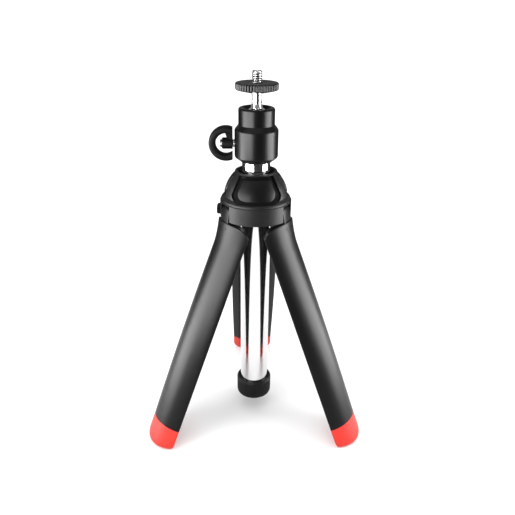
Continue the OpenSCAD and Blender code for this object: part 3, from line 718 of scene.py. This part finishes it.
def windowOutline(inset, sideSteps=14, cornerSteps=8):
    low, high = panel["belt"] + 0.9 * mm + inset, panel["crown"] - 0.8 * mm - inset
    wideLow, wideHigh = panel["lowAcross"] - inset, panel["highAcross"] - inset
    ring = roundCorners([(-wideLow, low, panel["corner"]), (wideLow, low, panel["corner"]),
                         (wideHigh, high, panel["highCorner"]), (-wideHigh, high, panel["highCorner"])],
                        cornerSteps, True)
    # even steps all the way round, so that every ring has as many points
    total, walk = 0.0, [0.0]
    for a, b in zip(ring, ring[1:] + ring[:1]):
        total += math.dist(a, b)
        walk.append(total)
    made, count, i = [], sideSteps * 8, 0
    for k in range(count):
        at = total * k / count
        while walk[i + 1] < at:
            i += 1
        share = (at - walk[i]) / max(1e-12, walk[i + 1] - walk[i])
        a, b = ring[i], ring[(i + 1) % len(ring)]
        made.append((a[0] + (b[0] - a[0]) * share, a[1] + (b[1] - a[1]) * share))
    return made


def ontoShoulder(outline, deep, pinch=1.0):
    midRise = (panel["belt"] + panel["crown"]) / 2
    row = []
    for x, rise in outline:
        x, rise = x * pinch, midRise + (rise - midRise) * pinch
        reach = shoulderRadius(rise) - deep
        row.append((x, -math.sqrt(max(1e-9, reach * reach - x * x)), rise))
    return row


def buildPanels():
    hingeZ = next(joint["pos_m"][2] for joint in frame["joints"] if joint["name"] == "leg_back_fold")
    for number, direction in enumerate(panel["directions"], 1):
        place = Matrix.Translation((0, 0, hingeZ)) @ Matrix.Rotation(math.radians(direction + 90), 4, "Z")
        edge = windowOutline(panel["gap"])
        rows = [ontoShoulder(edge, panel["deep"]), ontoShoulder(edge, 0.62 * mm)]
        # the panel's edge is rounded by (depth, pinch) rings, and the rest is its crown
        edgeRings = ((0.38 * mm, 0.992), (0.22 * mm, 0.975), (0.14 * mm, 0.95))
        rows += [ontoShoulder(edge, d, s) for d, s in edgeRings]
        rows += [ontoShoulder(edge, panel["skinDeep"], s) for s in (0.91, 0.78, 0.60, 0.42, 0.24, 0.08)]
        points, faces = skin(rows)
        name = f"shoulderPanel{number}"
        finishPiece(name, meshFrom(name, [place @ Vector(p) for p in points], faces, 50), "hub",
                    skinOf["panelBlack"], "panel_black", f"window_panel_{number}")
        # a near-black strip under the gap between panel and window edge: painted shade for the groove
        outer = windowOutline(panel["shadeStripRoom"])
        inner = windowOutline(panel["gap"] + panel["shadeStripUnder"])
        deep, under = panel["shadeStripDeep"], panel["shadeStripDeep"] + panel["shadeStripThick"]
        rows = [ontoShoulder(outer, under), ontoShoulder(outer, deep), ontoShoulder(inner, deep),
                ontoShoulder(inner, under)]
        points, faces = skin(rows + rows[:1], capEnds=False)
        name = f"panelGrooveShade{number}"
        finishPiece(name, meshFrom(name, [place @ Vector(p) for p in points], faces, 50), "hub",
                    skinOf["grooveShadeBlack"], "black_rubber")


buildPanels()
print("head, cap and panels made")

# sizes in metres, angles in degrees
studio = {"floorSize": 90.0, "floorGrey": 0.88, "sky": 1.05, "skyInGloss": 0.32, "sun": 1.4,
          "sunAngle": 70.0, "sunTilt": (12, -8)}


def buildFloor():
    low = cadBox[0].z
    s = studio["floorSize"]
    mesh = meshFrom("floor", [(-s, -s, low), (s, -s, low), (s, s, low), (-s, s, low)], [(0, 1, 2, 3)])
    mesh.materials.append(surface("floorPaper", (studio["floorGrey"],) * 3, (studio["floorGrey"] * 0.98,) * 3,
                                  0.8, patch=3, grain=400, bump=0.02, level=0.0))
    link("floor", mesh)


def softBox(name, place, target, size, power):
    data = bpy.data.lights.new(name, "AREA")
    data.shape = "RECTANGLE"
    data.size, data.size_y = size
    data.energy = power
    obj = bpy.data.objects.new(name, data)
    obj.location = place
    obj.rotation_euler = (Vector(target) - Vector(place)).to_track_quat("-Z", "Y").to_euler()
    bpy.context.scene.collection.objects.link(obj)


def buildLight():
    world = bpy.data.worlds.new("studio")
    bpy.context.scene.world = world
    world.use_nodes = True
    back = world.node_tree.nodes["Background"]
    back.inputs["Color"].default_value = (1.0, 1.0, 1.0, 1)
    # reflections see a dimmer sky than the floor and the colours do
    paths = world.node_tree.nodes.new("ShaderNodeLightPath")
    share = world.node_tree.nodes.new("ShaderNodeMapRange")
    share.inputs["To Min"].default_value = studio["sky"]
    share.inputs["To Max"].default_value = studio["skyInGloss"]
    world.node_tree.links.new(paths.outputs["Is Glossy Ray"], share.inputs["Value"])
    world.node_tree.links.new(share.outputs["Result"], back.inputs["Strength"])
    softBox("leftBox", (-0.62, -0.42, 0.30), (0, 0, -0.10), (0.40, 0.60), 3.0)
    softBox("rightBox", (0.80, -0.22, 0.30), (0, 0, -0.08), (0.30, 0.60), 3.0)
    sun = bpy.data.lights.new("overhead", "SUN")
    sun.energy = studio["sun"]
    sun.angle = math.radians(studio["sunAngle"])
    obj = bpy.data.objects.new("overhead", sun)
    obj.rotation_euler = (*(math.radians(a) for a in studio["sunTilt"]), 0)
    bpy.context.scene.collection.objects.link(obj)


# each glow: first and last azimuth in degrees, bottom and top over the floor, strength
cards = {"darkFrom": 0.40, "darkTo": 85.0, "lift": 0.002, "glowFar": 0.30, "ringSteps": 64, "arcSteps": 8,
         "glows": {"leftLow": (-100, -62, 0.0, 0.09, 24.0), "leftHigh": (-92, -22, 0.09, 0.25, 24.0),
                   "rightLow": (66, 106, 0.0, 0.09, 17.0), "rightHigh": (56, 98, 0.09, 0.25, 24.0)}}


def reflectionOnly(name, mesh, material):
    # a card that only reflections see, so that black and chrome keep their contrast
    mesh.materials.append(material)
    card = link(name, mesh)
    card.visible_camera = card.visible_diffuse = card.visible_shadow = False


def buildCards():
    low = cadBox[0].z + cards["lift"]
    angles = [tau * k / cards["ringSteps"] for k in range(cards["ringSteps"])]
    reach = (cards["darkFrom"], cards["darkTo"])
    rings = [[(r * math.cos(a), r * math.sin(a), low) for a in angles] for r in reach]
    points, faces = skin(rings, capEnds=False)
    dark = surface("cardPaper", (0.01,) * 3, (0.014,) * 3, 0.9, patch=3, grain=400, bump=0.02)
    reflectionOnly("darkRing", meshFrom("darkRing", points, faces), dark)
    for name, (first, last, bottom, top, power) in cards["glows"].items():
        glow = bpy.data.materials.new(name + "Glow")
        glow.use_nodes = True
        shader = glow.node_tree.nodes["Principled BSDF"]
        shader.inputs["Emission Color"].default_value = (1, 1, 1, 1)
        shader.inputs["Emission Strength"].default_value = power
        rows = []
        for z in (low + bottom, low + top):
            row = []
            for k in range(cards["arcSteps"] + 1):
                a = math.radians(first + (last - first) * k / cards["arcSteps"])
                row.append((cards["glowFar"] * math.sin(a), -cards["glowFar"] * math.cos(a), z))
            rows.append(row)
        points, faces = skin(rows, closedRound=False, capEnds=False)
        reflectionOnly(name + "Card", meshFrom(name + "Card", points, faces), glow)


buildFloor()
buildLight()
buildCards()
bpy.context.scene.view_settings.view_transform = "Standard"
print("studio made")
